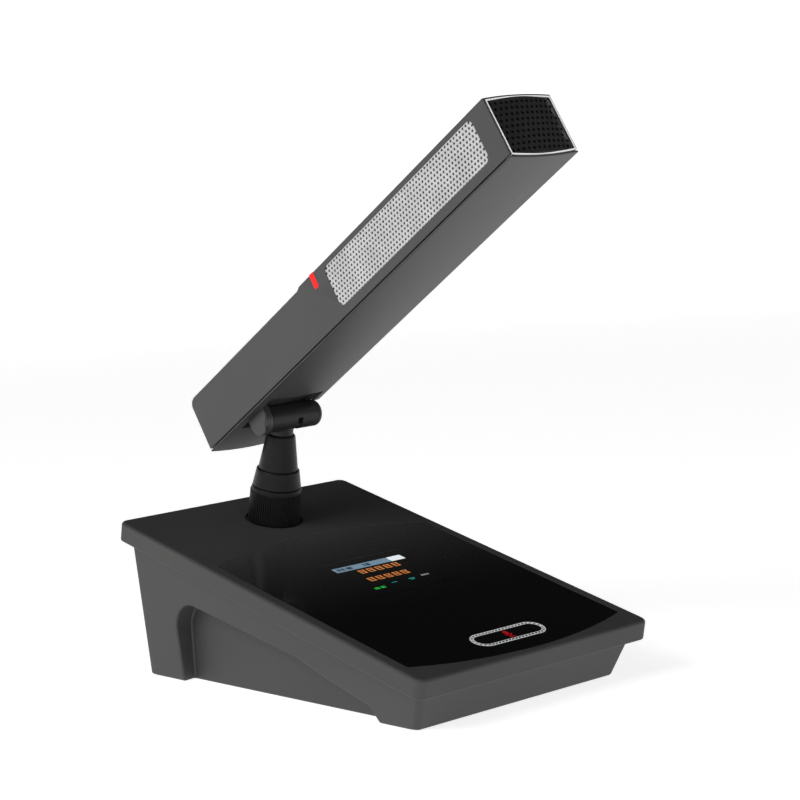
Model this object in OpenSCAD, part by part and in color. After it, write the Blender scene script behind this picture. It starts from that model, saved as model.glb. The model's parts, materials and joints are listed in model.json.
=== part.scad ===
// Desk conference microphone: a sloped desk unit with a swivelling, tilting rectangular microphone.
// Units are millimetres. +Z is up, the desk is Z = 0, the talker sits on the -Y side.
// The origin is the middle of the space the whole unit covers on the desk, in its rest pose.

/* [Desk unit] */
// Width of the top cover
base_w = 133; // [110:1:180]
// Length of the top cover, measured along its slope
base_len = 205; // [175:1:250]
// Slope of the top cover from the horizontal
slope = 13.6; // [10:0.2:17]
// Height of the rear top edge above the desk
rear_h = 72.2; // [68:0.5:95]
// Height of the rim that hangs down around the top cover
lip_h = 8.8; // [8:0.2:12]
// How far the rim stands out past the side walls
overhang = 3.4; // [3.2:0.1:5]
// How far each side wall leans in between the rim and the desk
side_lean = 5.7; // [2:0.1:8]
// How far the front wall leans in between the rim and the desk
front_lean = 9; // [3:0.5:12]
// Plan corner radius of the top cover
cover_r = 4.2; // [3:0.2:6]
// Wall thickness of the lower housing
wall = 2.5; // [2:0.1:3]
// Thickness of the top cover
cover_t = 3; // [2.8:0.1:4]

/* [Side recess] */
// Depth of the recess in each side wall
recess_d = 6; // [3:0.5:8]
// Distance from the rear of the unit to the recess
recess_rear = 27.5; // [24:0.5:36]
// Distance from the front of the unit to the recess
recess_front = 36; // [30:1:46]
// Height of the recess at its rear end
recess_h = 36.5; // [28:0.5:40]
// Radius of the rear upper corner of the recess
recess_r = 13; // [6:1:14]

/* [Touch panel] */
// Distance from the rear edge to the middle of the panel's rear arc
panel_rear = 54.7; // [50:0.5:62]
// Margin between the front edge and the middle of the panel's front arc
panel_front = 3.4; // [3:0.2:8]
// Margin between each side edge and the panel
panel_side = 5.4; // [4.6:0.2:10]
// Rise of the rear arc
rear_rise = 12.4; // [6:0.2:14]
// Rise of the front arc
front_rise = 10.3; // [6:0.2:14]
// Thickness of the panel
panel_t = 1.5; // [1:0.1:1.8]
// Width of the display window
screen_w = 50; // [40:1:60]
// Length of the display window
screen_l = 40; // [34:1:46]
// Distance from the rear edge to the middle of the display window
screen_at = 108; // [100:1:114]
// Length of the outlined talk key
key_w = 40; // [30:1:50]
// Width of the outlined talk key
key_l = 12.4; // [10:0.2:16]
// Distance from the front edge to the middle of the talk key
key_from_front = 18.8; // [17:0.2:24]

/* [Stalk] */
// Distance from the rear edge to the stalk axis
stalk_at = 29.9; // [26:0.1:34]
// Radius of the knurled lock ring at its foot
ring_r = 12; // [11.8:0.1:14]
// Height of the top of the lock ring above the cover
ring_h = 16; // [15:0.2:18]
// Radius of the stalk spigot that turns in the socket
spigot_r = 5.95; // [5:0.05:6.2]
// Radius of the collar where it meets the lock ring
collar_r = 11.2; // [10:0.1:11.6]
// Height of the top of the collar above the cover
collar_h = 24.6; // [22:0.2:28]
// Radius of the cone at its foot
cone_r = 9.1; // [8:0.1:9.6]
// Height of the top of the cone above the cover
cone_h = 41.2; // [38:0.2:42]
// Radius of the cone at its top
cone_top_r = 6.7; // [6:0.1:7.4]

/* [Tilt pivot] */
// Height of the tilt axis above the cover
pivot_h = 49.2; // [49:0.2:56]
// Distance of the tilt axis in front of the stalk axis
pivot_fwd = 1; // [0:0.1:2]
// Outer radius of the barrel
barrel_r = 6.1; // [5.8:0.1:6.6]
// Distance from the stalk axis to the ear end of the barrel
barrel_left = 11; // [9:0.1:11.8]
// Distance from the stalk axis to the closed end of the barrel
barrel_right = 19; // [17:0.1:19]
// Radius of the tilt shaft
shaft_r = 3; // [2.5:0.1:3.4]
// Thickness of the ear
ear_t = 3.6; // [3:0.1:4]
// Radius of the ear
ear_r = 6.7; // [6.4:0.1:7.4]
// Angle of the microphone from the top cover in the rest pose
rest_tilt = 45.2; // [20:0.2:49]
// Lowest angle of the microphone from the top cover
tilt_min = 0; // [0:1:15]
// Highest angle of the microphone from the top cover
tilt_max = 60; // [50:1:62]

/* [Microphone] */
// Length of the microphone
mic_len = 245; // [200:1:300]
// Width of the microphone
mic_w = 38; // [38:0.5:46]
// Height of the side faces at the front half
mic_h = 27.4; // [26:0.2:33]
// Height difference between the front half and the rear half
mic_step = 1; // [0.4:0.1:2]
// Distance from the tail to the step
step_at = 101; // [90:1:104]
// Rise of the crowned top and bottom faces
crown = 1; // [0.6:0.1:1.4]
// Wall thickness of the microphone shell
mic_wall = 1.8; // [1.6:0.1:2.2]
// Radius of the upper tail corner
tail_r = 4; // [2:0.5:5]
// Distance from the tail to the tilt axis
pivot_u = 34.7; // [30:0.5:42]
// Distance of the tilt axis below the bottom edge
pivot_drop = 3.9; // [3.8:0.1:6]
// Distance from the tail to the side grilles
grille_at = 120.8; // [118:0.2:128]
// Length of each side grille
grille_len = 113.6; // [70:0.2:114]
// Height of each side grille
grille_h = 19.6; // [16:0.2:20]
// Corner radius of each side grille
grille_r = 3; // [1:0.5:4]
// Thickness of the perforated sheet
grille_t = 0.8; // [0.6:0.1:1]
// Distance from the tail to the status light
light_at = 110.6; // [108:0.2:114]
// Width of the status light
light_w = 3; // [2:0.2:4]
// How far the status light reaches down each side
light_down = 7; // [4:0.5:10]

/* [Fits] */
// Running clearance of a shaft in its hole
run_gap = 0.05; // [0.03:0.01:0.1]
// Clearance between parts that never touch
free_gap = 0.3; // [0.25:0.05:0.5]
// Clearance of a part that drops into a pocket
seat_gap = 0.1; // [0.05:0.01:0.15]

/* [Hidden] */
$fn = 64;
eps = 0.01;
hull_fn = 32;
crown_fn = 512;

pitch = rest_tilt - slope;
pivot_v = stalk_at + pivot_fwd;

// Reach of the unit along Y, measured from the rear top edge of the cover.
axis_back = pivot_v * cos(slope) + pivot_h * sin(slope);
tail_back = tail_r - axis_back + cos(pitch) * (pivot_u - tail_r)
    + sin(pitch) * (pivot_drop + mic_h - mic_step - tail_r);
head_front = sin(pitch) * (pivot_drop - crown) - axis_back - cos(pitch) * (mic_len - pivot_u);
reach_max = max(lip_h * sin(slope), tail_back);
reach_min = min(-base_len * cos(slope), head_front);
cover_y = -(reach_max + reach_min) / 2;

// Foot print of the lower housing.
foot_half = base_w / 2 - overhang - side_lean;
foot_rear = cover_y - 2;
foot_front = cover_y - base_len * cos(slope) + lip_h * sin(slope) + overhang + front_lean;
foot_mid = (foot_rear + foot_front) / 2;
foot_l = foot_rear - foot_front;

// Side recess: its upper edge falls a little less than the cover, then drops to a low toe.
recess_fall = slope * 0.82;
recess_knee = 34;
recess_toe = 14;
recess_toe_l = 5;
recess_toe_h = 7;

// Bottom plate and its screws.
plate_z = 2.5;
plate_t = 2.5;
floor_z = plate_z + plate_t;
plate_half = foot_half - recess_d - wall;
plate_rear = foot_rear - 4.5;
plate_front = foot_front + 4.5;
boss_r = 4.5;
boss_in = 6.5;
boss_x = plate_half - boss_in;
boss_front = plate_front + boss_in;
boss_rear = plate_rear - boss_in;
boss_front_h = 11;
boss_rear_h = 24;
boss_web = 3;
base_screw_r = 1.5;
base_screw_l = 12;
pad_r = 6;
pad_h = 3.3;
pad_in = 20;

// Ballast and battery.
ballast_w = 68;
ballast_l = 58;
ballast_t = 5;
ballast_hole_in = 8;
battery_w = 48;
battery_l = 56;
battery_h = 7;

// Main board and the charging inlet on its rear edge.
board_z = floor_z + 9;
board_t = 1.6;
board_half = 36.5;
board_rear = foot_rear - wall - 2.5;
board_front = board_rear - 78;
board_hole_in = 6;
inlet_w = 9;
inlet_h = 3.3;
inlet_l = 7.5;
inlet_z = board_z + board_t + inlet_h / 2;

// Chamfer round the top of the cover.
cover_chamfer = 0.9;

// Lit line and symbol of the talk key.
key_t = 0.6;
key_line = 1.5;

// Stalk socket.
seat_r = ring_r + 1.2;
seat_d = 1.5;
boss_top_t = 5;
socket_wall = 2.5;
socket_r = spigot_r + run_gap + socket_wall;
socket_top = ring_h - 4;
socket_bottom = -24;
socket_flange_r = 16;
socket_flange_t = 2.5;
socket_screw_at = socket_flange_r - 3;
spigot_bottom = -14;
flange_t = 1.9;
flange_r = socket_r + 0.9;
ring_lip_z = socket_top + flange_t + 2 * run_gap + 0.2;
neck_r = socket_r - 0.5;
lead_r = 2.5;
core_r = 5;
knurl_count = 66;

// Pivot parts. The slot is where the stop pin travels.
bush_r = shaft_r + 1.5;
slot_x = 5.2;
slot_w = 2.6;
pin_r = 1.05;
pin_low = -75;
slot_margin = 2 + asin(pin_r / shaft_r);
slot_top = pin_low + tilt_max + slot_margin;
slot_bottom = pin_low + tilt_min - slot_margin;
pin_angle = pin_low + rest_tilt;
cap_t = 3;
ear_skin = 0.8;
bush_end = barrel_right - cap_t - 2.2;
washer_t = 0.5;
shaft_end = bush_end + run_gap + washer_t;
shaft_head_t = 1;

// Pocket in the microphone's bottom cover that the barrel sits in. Its rear end clears
// the edge of the cone at the highest tilt.
pocket_roof_z = barrel_r - pivot_drop + 1;
roof_t = 1.6;
pocket_wall = 1.5;
cover_edge = 0.3;
cone_rate = (cone_r - cone_top_r) / (cone_h - collar_h);
cone_edge = pivot_fwd + cone_top_r - cone_rate * (pivot_h - cone_h);
cone_meet = (cone_edge * sin(tilt_max) - pivot_drop + crown + cover_edge + 0.5)
    / (cos(tilt_max) - cone_rate * sin(tilt_max));
cone_reach = (cone_edge + cone_rate * cone_meet) * cos(tilt_max) + cone_meet * sin(tilt_max);
pocket_rear = max(barrel_r + 3, cone_reach);
pocket_front = barrel_r + 8.6;
pocket_left = barrel_left + ear_t + 2 * free_gap;
pocket_right = mic_w / 2 - mic_wall - pocket_wall - 0.4;
land_half = mic_w / 2 - mic_wall - seat_gap;
cover_rise = 0.4;
groove = 1.1;
land_t = 2;
flange_front = 13;
flange_plate_t = 2.2;
bracket_screw_x = -barrel_left - free_gap + 9;
bracket_screw_y = flange_front - 4;

// Head of the microphone.
trim_t = 0.8;
trim_d = 4;
trim_out = 0.3;
head_rim = 0.9;
mesh_bulge = 1.4;
mesh_out = 0.9;

// Contents of the microphone.
grille_mid = 15.1;
capsule_r = 4.85;
capsule_l = 7;
capsule_count = 4;
mic_board_at = 58;
mic_board_len = 48;
mic_board_z = land_t + 3;

// Places a child in the frame of the sloped cover: the origin is the middle of the outer
// rear top edge, -Y runs down the slope and +Z points away from the cover.
module on_cover() {
    translate([0, cover_y, rear_h])
        rotate([slope, 0, 0])
            children();
}

// Places a child on the stalk axis, where the axis meets the cover.
module on_stalk() {
    on_cover()
        translate([0, -stalk_at, 0])
            children();
}

// Places a child at the middle of the tilt axis, still square with the stalk.
module on_pivot() {
    on_stalk()
        translate([0, -pivot_fwd, pivot_h])
            children();
}

// Places a child in the frame of the microphone: Z = 0 is the bottom edge of its side
// faces, the tilt axis is under Y = 0 and the head is toward -Y.
module on_mic() {
    on_pivot()
        rotate([-rest_tilt, 0, 0])
            translate([0, 0, pivot_drop])
                children();
}

// A cylinder along X from x0 to x1.
module rod_x(r, x0, x1) {
    translate([x0, 0, 0])
        rotate([0, 90, 0])
            cylinder(r = r, h = x1 - x0);
}

module round_rect(w, l, r) {
    square([w - 2 * r, l], center = true);
    square([w, l - 2 * r], center = true);
    for (x = [-1, 1], y = [-1, 1])
        translate([x * (w / 2 - r), y * (l / 2 - r)])
            circle(r = r);
}

// Desk unit.

// A shell that leans from the desk outline up to the underside of the cover.
module leaning_block(inset, z0, top) {
    hull() {
        translate([0, foot_mid, z0])
            linear_extrude(eps)
                round_rect(2 * (foot_half - inset), foot_l - 2 * inset, cover_r - 1, $fn = hull_fn);
        on_cover()
            translate([0, -base_len / 2, top])
                linear_extrude(eps)
                    round_rect(base_w - 2 * (overhang + inset), base_len - 2 * (overhang + inset),
                        cover_r - 1, $fn = hull_fn);
    }
}

// Side view of the recess: a high rounded rear end that falls toward the front.
module recess_outline(grow) {
    centre_y = foot_rear - recess_rear - recess_r;
    centre_z = recess_h - recess_r;
    reach = recess_r + grow;
    top_y = centre_y - reach * sin(recess_fall);
    top_z = centre_z + reach * cos(recess_fall);
    knee_y = foot_front + recess_front + recess_knee;
    toe_y = foot_front + recess_front - recess_toe - grow;
    translate([centre_y, centre_z])
        circle(r = reach);
    polygon([[centre_y, centre_z], [top_y, top_z],
        [knee_y, top_z - (top_y - knee_y) * tan(recess_fall)],
        [toe_y + recess_toe_l, recess_toe_h + grow], [toe_y, -2], [centre_y + reach, -2],
        [centre_y + reach, centre_z]]);
}

module recess_block(grow, x_in) {
    for (side = [0, 1])
        mirror([side, 0, 0])
            translate([x_in, 0, 0])
                rotate([90, 0, 90])
                    linear_extrude(base_w)
                        recess_outline(grow);
}

module base_housing() {
    color("#3d3e40")
    difference() {
        leaning_block(0, 0, -cover_t - eps);
        difference() {
            leaning_block(wall, floor_z, 1);
            recess_block(wall, foot_half - recess_d - wall);
            screw_bosses();
        }
        recess_block(0, foot_half - recess_d);
        plate_opening(seat_gap);
        for (x = [-1, 1], y = [boss_front, boss_rear])
            translate([x * boss_x, y, floor_z - 2])
                cylinder(r = base_screw_r, h = base_screw_l + 1);
        translate([0, foot_rear - 2 * wall - 1, inlet_z])
            rotate([-90, 0, 0])
                linear_extrude(20)
                    round_rect(inlet_w + 2 * seat_gap, inlet_h + 2 * seat_gap, inlet_h / 2);
    }
}

// Four posts that take the bottom plate's screws, each tied to the nearest end wall.
module screw_bosses() {
    for (x = [-1, 1]) {
        translate([x * boss_x, boss_front, floor_z - 1])
            cylinder(r = boss_r, h = boss_front_h + 1);
        translate([x * boss_x - boss_web / 2, boss_front - 16, floor_z - 1])
            cube([boss_web, 16, boss_front_h + 1]);
        translate([x * boss_x, boss_rear, floor_z - 1])
            cylinder(r = boss_r, h = boss_rear_h + 1);
        translate([x * boss_x - boss_web / 2, boss_rear, floor_z - 1])
            cube([boss_web, 20, boss_rear_h + 1]);
    }
}

module plate_opening(gap) {
    translate([-plate_half - gap, plate_front - gap, -1])
        cube([2 * (plate_half + gap), plate_rear - plate_front + 2 * gap, floor_z + 1]);
}

module base_plate() {
    color("#2c2d2f")
    difference() {
        translate([-plate_half, plate_front, plate_z])
            cube([2 * plate_half, plate_rear - plate_front, plate_t]);
        for (x = [-1, 1], y = [boss_front, boss_rear])
            translate([x * boss_x, y, 0]) {
                cylinder(r = base_screw_r + 0.2, h = 20);
                cylinder(r = base_screw_r + 1.6, h = plate_z + 1.2);
            }
        for (x = [-1, 1], y = [plate_front + pad_in, plate_rear - pad_in])
            translate([x * (plate_half - pad_in), y, 0])
                cylinder(r = pad_r, h = plate_z + 0.8);
    }
}

module rubber_feet() {
    color("#1c1c1d")
    for (x = [-1, 1], y = [plate_front + pad_in, plate_rear - pad_in])
        translate([x * (plate_half - pad_in), y, 0])
            difference() {
                cylinder(r = pad_r, h = pad_h);
                translate([0, 0, -eps])
                    cylinder(r = pad_r / 2, h = 0.6);
            }
}

module base_screws() {
    color("#8b8d90")
    for (x = [-1, 1], y = [boss_front, boss_rear])
        translate([x * boss_x, y, plate_z + 0.1])
            difference() {
                union() {
                    cylinder(r = base_screw_r, h = base_screw_l);
                    cylinder(r = base_screw_r + 1.4, h = 1.1);
                }
                translate([0, 0, -eps])
                    cylinder(r = 0.9, h = 0.8, $fn = 6);
            }
}

module ballast_plate() {
    color("#74777a")
    translate([-ballast_w / 2, foot_mid - ballast_l - 4, floor_z])
        difference() {
            cube([ballast_w, ballast_l, ballast_t]);
            for (x = [ballast_hole_in, ballast_w - ballast_hole_in],
                y = [ballast_hole_in, ballast_l - ballast_hole_in])
                translate([x, y, -1])
                    cylinder(r = 2, h = ballast_t + 2);
        }
}

module board_standoffs() {
    color("#b9a05a")
    for (x = [-1, 1], y = [board_front + board_hole_in, board_rear - board_hole_in])
        translate([x * (board_half - board_hole_in), y, floor_z])
            difference() {
                cylinder(r = 2.75, h = board_z - floor_z, $fn = 6);
                translate([0, 0, 1])
                    cylinder(r = 1.25, h = board_z);
            }
}

module main_board() {
    color("#1f5a34")
    difference() {
        union() {
            translate([-board_half, board_front, board_z])
                cube([2 * board_half, board_rear - board_front, board_t]);
            translate([-8, board_front + 20, board_z + board_t])
                cube([12, 12, 1.2]);
            translate([12, board_front + 34, board_z + board_t])
                cube([9, 6, 1.4]);
            translate([-24, board_front + 48, board_z + board_t])
                cube([6, 14, 4]);
            for (y = [14, 24, 34])
                translate([26, board_front + y, board_z + board_t])
                    cylinder(r = 3, h = 7);
        }
        for (x = [-1, 1], y = [board_front + board_hole_in, board_rear - board_hole_in])
            translate([x * (board_half - board_hole_in), y, board_z - 1])
                cylinder(r = 1.4, h = 4);
    }
}

module board_screws() {
    color("#9fa1a4")
    for (x = [-1, 1], y = [board_front + board_hole_in, board_rear - board_hole_in])
        translate([x * (board_half - board_hole_in), y, board_z + board_t])
            difference() {
                union() {
                    cylinder(r = 2.3, h = 1.5);
                    translate([0, 0, -6])
                        cylinder(r = 1.2, h = 6.5);
                }
                translate([0, 0, 0.8])
                    cylinder(r = 0.8, h = 1, $fn = 6);
            }
}

module battery_pack() {
    color("#4a5f86")
    translate([-battery_w / 2, board_front + 10, floor_z])
        cube([battery_w, battery_l, battery_h]);
}

// Charging socket on the rear edge of the main board: a flat tube with a contact tongue.
module charge_inlet() {
    color("#a9abae")
    translate([0, board_rear - inlet_l + 4, inlet_z])
        rotate([-90, 0, 0])
            union() {
                difference() {
                    linear_extrude(inlet_l)
                        round_rect(inlet_w, inlet_h, inlet_h / 2 - 0.1);
                    translate([0, 0, 1.2])
                        linear_extrude(inlet_l)
                            round_rect(inlet_w - 0.7, inlet_h - 0.7, inlet_h / 2 - 0.4);
                }
                translate([-3.3, -0.35, 1])
                    cube([6.6, 0.7, 4.6]);
            }
}

// Top cover.

// Outline of the touch panel in the frame of the cover, bounded by two arcs.
module panel_outline(gap) {
    half = base_w / 2 - panel_side;
    rear_arc = (half * half + rear_rise * rear_rise) / (2 * rear_rise);
    front_arc = (half * half + front_rise * front_rise) / (2 * front_rise);
    intersection() {
        translate([-half - gap, -base_len])
            square([2 * (half + gap), base_len]);
        translate([0, -panel_rear - rear_arc])
            circle(r = rear_arc + gap, $fn = 128);
        translate([0, -base_len + panel_front + front_arc])
            circle(r = front_arc + gap, $fn = 128);
    }
}

module screen_outline(gap) {
    translate([0, -screen_at])
        round_rect(screen_w + 2 * gap, screen_l + 2 * gap, 1);
}

module key_outline_shape(grow) {
    translate([0, -base_len + key_from_front])
        round_rect(key_w + 2 * grow, key_l + 2 * grow, key_l / 2 + grow - eps);
}

module cover_slab(w, l, r, h) {
    translate([0, -base_len / 2, -h])
        linear_extrude(h)
            round_rect(w, l, r);
}

// Top layer of the cover, chamfered along its sides and round its corners.
module cover_crest(w, l, r, c) {
    translate([0, -base_len / 2, -c]) {
        rotate([90, 0, 0])
            linear_extrude(l - 2 * r, center = true)
                polygon([[-w / 2, 0], [w / 2, 0], [w / 2 - c, c], [c - w / 2, c]]);
        rotate([90, 0, 90])
            linear_extrude(w - 2 * r, center = true)
                polygon([[-l / 2, 0], [l / 2, 0], [l / 2 - c, c], [c - l / 2, c]]);
        for (x = [-1, 1], y = [-1, 1])
            translate([x * (w / 2 - r), y * (l / 2 - r), 0])
                cylinder(r1 = r, r2 = r - c, h = c);
    }
}

module top_cover() {
    color("#2d2c2e")
    on_cover()
    difference() {
        union() {
            cover_crest(base_w, base_len, cover_r, cover_chamfer);
            difference() {
                translate([0, 0, -cover_chamfer])
                    cover_slab(base_w, base_len, cover_r, lip_h - cover_chamfer);
                translate([0, 0, -cover_t])
                    cover_slab(base_w - 2 * (overhang - free_gap),
                        base_len - 2 * (overhang - free_gap), cover_r - 1, lip_h);
            }
            translate([0, -stalk_at, -cover_t - boss_top_t])
                cylinder(r = socket_flange_r + 1, h = boss_top_t + eps);
        }
        translate([0, 0, -panel_t - 0.1])
            linear_extrude(panel_t + 1)
                panel_outline(seat_gap);
        translate([0, 0, -cover_t - 1])
            linear_extrude(cover_t + 2)
                screen_outline(seat_gap);
        translate([0, -stalk_at, -seat_d])
            cylinder(r = seat_r, h = seat_d + 1);
        translate([0, -stalk_at, -cover_t - boss_top_t - 1])
            cylinder(r = socket_r + seat_gap, h = 20);
        for (a = [90, 210, 330])
            translate([0, -stalk_at, 0])
                rotate([0, 0, a])
                    translate([socket_screw_at, 0, -cover_t - boss_top_t - 1])
                        cylinder(r = 1.25, h = 6);
    }
}

module touch_panel() {
    color("#0b0b0c")
    on_cover()
    translate([0, 0, -panel_t - 0.1])
        difference() {
            linear_extrude(panel_t)
                panel_outline(0);
            translate([0, 0, -1])
                linear_extrude(panel_t + 2)
                    screen_outline(seat_gap);
            translate([0, 0, panel_t - key_t])
                linear_extrude(1)
                    difference() {
                        key_outline_shape(0);
                        key_outline_shape(-key_line);
                    }
            translate([0, -base_len + key_from_front, panel_t - key_t])
                linear_extrude(1)
                    key_symbol_shape();
        }
}

module display_module() {
    color("#101214")
    on_cover()
    translate([0, 0, -cover_t])
        linear_extrude(cover_t - 0.1)
            screen_outline(0);
}

module key_outline() {
    color("#e8eaec")
    on_cover()
    translate([0, 0, -0.1 - key_t])
        linear_extrude(key_t)
            difference() {
                key_outline_shape(0);
                key_outline_shape(-key_line);
            }
}

// Plain talk symbol: an upright capsule on a short foot.
module key_symbol_shape() {
    translate([0, 1])
        round_rect(2.6, 4.6, 1.29);
    translate([-0.4, -3])
        square([0.8, 2]);
    translate([-1.8, -3.4])
        square([3.6, 0.8]);
}

module key_symbol() {
    color("#c81e1e")
    on_cover()
    translate([0, -base_len + key_from_front, -0.1 - key_t])
        linear_extrude(key_t)
            key_symbol_shape();
}

module touch_board() {
    color("#1f5a34")
    on_cover()
    translate([0, -(screen_at - screen_l / 2 - 6), -cover_t - board_t])
        translate([-42, -(base_len - screen_at + screen_l / 2 - 8), 0])
            cube([84, base_len - screen_at + screen_l / 2 - 8, board_t]);
}

// Stalk.

module stalk_socket() {
    color("#8e9194")
    on_stalk()
    difference() {
        union() {
            translate([0, 0, socket_bottom])
                cylinder(r = socket_r, h = socket_top - socket_bottom);
            translate([0, 0, -cover_t - boss_top_t - socket_flange_t])
                cylinder(r = socket_flange_r, h = socket_flange_t);
        }
        translate([0, 0, socket_bottom - 1])
            cylinder(r = spigot_r + run_gap, h = socket_top - socket_bottom + 2);
        for (a = [90, 210, 330])
            rotate([0, 0, a])
                translate([socket_screw_at, 0, -cover_t - boss_top_t - socket_flange_t - 1])
                    cylinder(r = 1.6, h = 6);
    }
}

module socket_screws() {
    color("#b9bbbe")
    on_stalk()
    for (a = [90, 210, 330])
        rotate([0, 0, a])
            translate([socket_screw_at, 0, -cover_t - boss_top_t - socket_flange_t])
                difference() {
                    union() {
                        cylinder(r = 1.2, h = 7);
                        translate([0, 0, -1.6])
                            cylinder(r = 2.5, h = 1.6);
                    }
                    translate([0, 0, -1.6 - eps])
                        cylinder(r = 0.9, h = 1, $fn = 6);
                }
}

// Knurled ring: a turned sleeve with fine upright ribs, a plain band and a chamfer on top.
module lock_ring() {
    foot = -seat_d + free_gap;
    body_r = ring_r - 0.45;
    top_r = ring_r - 0.75;
    color("#2b2b2d")
    on_stalk()
    difference() {
        union() {
            translate([0, 0, foot])
                cylinder(r = body_r, h = ring_h - 1 - foot);
            translate([0, 0, ring_h - 1])
                cylinder(r1 = body_r, r2 = top_r, h = 1);
            for (i = [0 : knurl_count - 1])
                rotate([0, 0, i * 360 / knurl_count])
                    translate([body_r - 0.6, -0.35, foot + 1])
                        cube([1.05, 0.7, ring_h - 3 - foot]);
        }
        translate([0, 0, foot - 1])
            cylinder(r = socket_r + run_gap, h = ring_h + 8);
        translate([0, 0, socket_top - free_gap])
            cylinder(r = flange_r + free_gap, h = ring_lip_z - socket_top + free_gap);
        translate([0, 0, ring_lip_z - eps])
            cylinder(r = neck_r + free_gap, h = ring_h);
    }
}

module stalk_core() {
    color("#9a9da0")
    on_stalk()
    difference() {
        union() {
            translate([0, 0, spigot_bottom])
                cylinder(r = spigot_r, h = socket_top - spigot_bottom + run_gap);
            translate([0, 0, socket_top + run_gap])
                cylinder(r = flange_r, h = flange_t);
            translate([0, 0, socket_top + run_gap])
                cylinder(r = neck_r, h = ring_h + free_gap - socket_top - run_gap);
            translate([0, 0, ring_h])
                cylinder(r = core_r, h = cone_h - ring_h);
        }
        translate([0, 0, spigot_bottom - 1])
            cylinder(r = lead_r, h = cone_h - spigot_bottom + 2);
    }
}

module stalk_collar() {
    color("#2f2f31")
    on_stalk()
    difference() {
        union() {
            translate([0, 0, ring_h + free_gap])
                cylinder(r1 = collar_r, r2 = cone_r + 0.8, h = collar_h - ring_h - free_gap - 0.6);
            translate([0, 0, collar_h - 0.6])
                cylinder(r1 = cone_r + 0.8, r2 = cone_r + 0.3, h = 0.6);
        }
        translate([0, 0, ring_h - 1])
            cylinder(r = core_r + 0.02, h = collar_h);
    }
}

module stalk_cone() {
    color("#323234")
    on_stalk()
    difference() {
        union() {
            translate([0, 0, collar_h])
                cylinder(r1 = cone_r, r2 = cone_top_r, h = cone_h - collar_h - 0.8);
            translate([0, 0, cone_h - 0.8])
                cylinder(r1 = cone_top_r, r2 = cone_top_r - 0.6, h = 0.8);
        }
        translate([0, 0, collar_h - 1])
            cylinder(r = core_r + 0.02, h = cone_h);
    }
}

// Tilt pivot.

// The ring segment that the stop pin sweeps, measured about the tilt axis.
module stop_slot(r0, r1) {
    translate([slot_x, 0, 0])
        rotate([0, 90, 0])
            rotate([0, 0, 270 - slot_top])
                rotate_extrude(angle = slot_top - slot_bottom)
                    translate([r0, -slot_w / 2])
                        square([r1 - r0, slot_w]);
}

module pivot_barrel() {
    saddle_r = core_r + 0.6;
    color("#2e2e30")
    on_pivot()
    difference() {
        union() {
            rod_x(barrel_r, -barrel_left, barrel_right - cap_t);
            translate([0, pivot_fwd, cone_h - pivot_h])
                cylinder(r = saddle_r, h = pivot_h - cone_h - 1);
        }
        rod_x(bush_r, -barrel_left - 1, barrel_right);
        translate([0, pivot_fwd, cone_h - pivot_h - 1])
            cylinder(r = lead_r, h = pivot_h - cone_h);
        stop_slot(bush_r - 1, barrel_r + 1);
    }
}

// Rounded plug that closes the barrel.
module barrel_cap() {
    edge = cap_t - 0.4;
    color("#2e2e30")
    on_pivot()
    translate([barrel_right - cap_t, 0, 0])
        rotate([0, 90, 0])
            rotate_extrude()
                intersection() {
                    union() {
                        square([barrel_r, cap_t - edge]);
                        square([barrel_r - edge, cap_t]);
                        translate([barrel_r - edge, cap_t - edge])
                            circle(r = edge);
                    }
                    square([barrel_r, cap_t]);
                }
}

module pivot_bushing() {
    color("#c9c6bb")
    on_pivot()
    difference() {
        rod_x(bush_r, -barrel_left, bush_end);
        rod_x(shaft_r + run_gap, -barrel_left - 1, bush_end + 1);
        stop_slot(shaft_r, bush_r + 1);
    }
}

module pivot_shaft() {
    color("#a5a8ab")
    on_pivot()
    difference() {
        rod_x(shaft_r, -barrel_left - free_gap - ear_t + ear_skin, shaft_end);
        rod_x(1.2, shaft_end - 8, shaft_end + 1);
        rotate([90 - pin_angle, 0, 0])
            translate([slot_x, 0, 0])
                cylinder(r = pin_r, h = 2 * shaft_r);
    }
}

module stop_pin() {
    color("#6f7275")
    on_pivot()
    rotate([90 - pin_angle, 0, 0])
        translate([slot_x, 0, 0])
            cylinder(r = pin_r, h = barrel_r - 0.4);
}

module shaft_washer() {
    color("#b9bbbe")
    on_pivot()
    difference() {
        rod_x(bush_r - free_gap, bush_end + run_gap, shaft_end);
        rod_x(shaft_r, bush_end, shaft_end + 1);
    }
}

module shaft_screw() {
    color("#8b8d90")
    on_pivot()
    difference() {
        union() {
            rod_x(1.2, shaft_end - 7, shaft_end + 0.1);
            rod_x(shaft_r + 0.6, shaft_end, shaft_end + shaft_head_t);
        }
        translate([shaft_end + shaft_head_t - 0.6, -4, -0.4])
            cube([1, 8, 0.8]);
    }
}

// Ear that carries the shaft, with a plate screwed to the roof of the pocket.
module pivot_bracket() {
    ear_x = -barrel_left - free_gap - ear_t;
    roof_top = pocket_roof_z + roof_t;
    color("#515356")
    on_mic()
    difference() {
        union() {
            translate([0, 0, -pivot_drop])
                rod_x(ear_r, ear_x, ear_x + ear_t);
            translate([ear_x, -ear_r, -pivot_drop])
                cube([ear_t, 2 * ear_r, roof_top + pivot_drop]);
            translate([ear_x, -flange_front, roof_top])
                cube([ear_t + 14, 2 * flange_front, flange_plate_t]);
        }
        translate([0, 0, -pivot_drop])
            rod_x(shaft_r, ear_x + ear_skin, ear_x + ear_t + 1);
        for (y = [-1, 1])
            translate([bracket_screw_x, y * bracket_screw_y, roof_top - 1])
                cylinder(r = 1.4, h = 6);
    }
}

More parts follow.
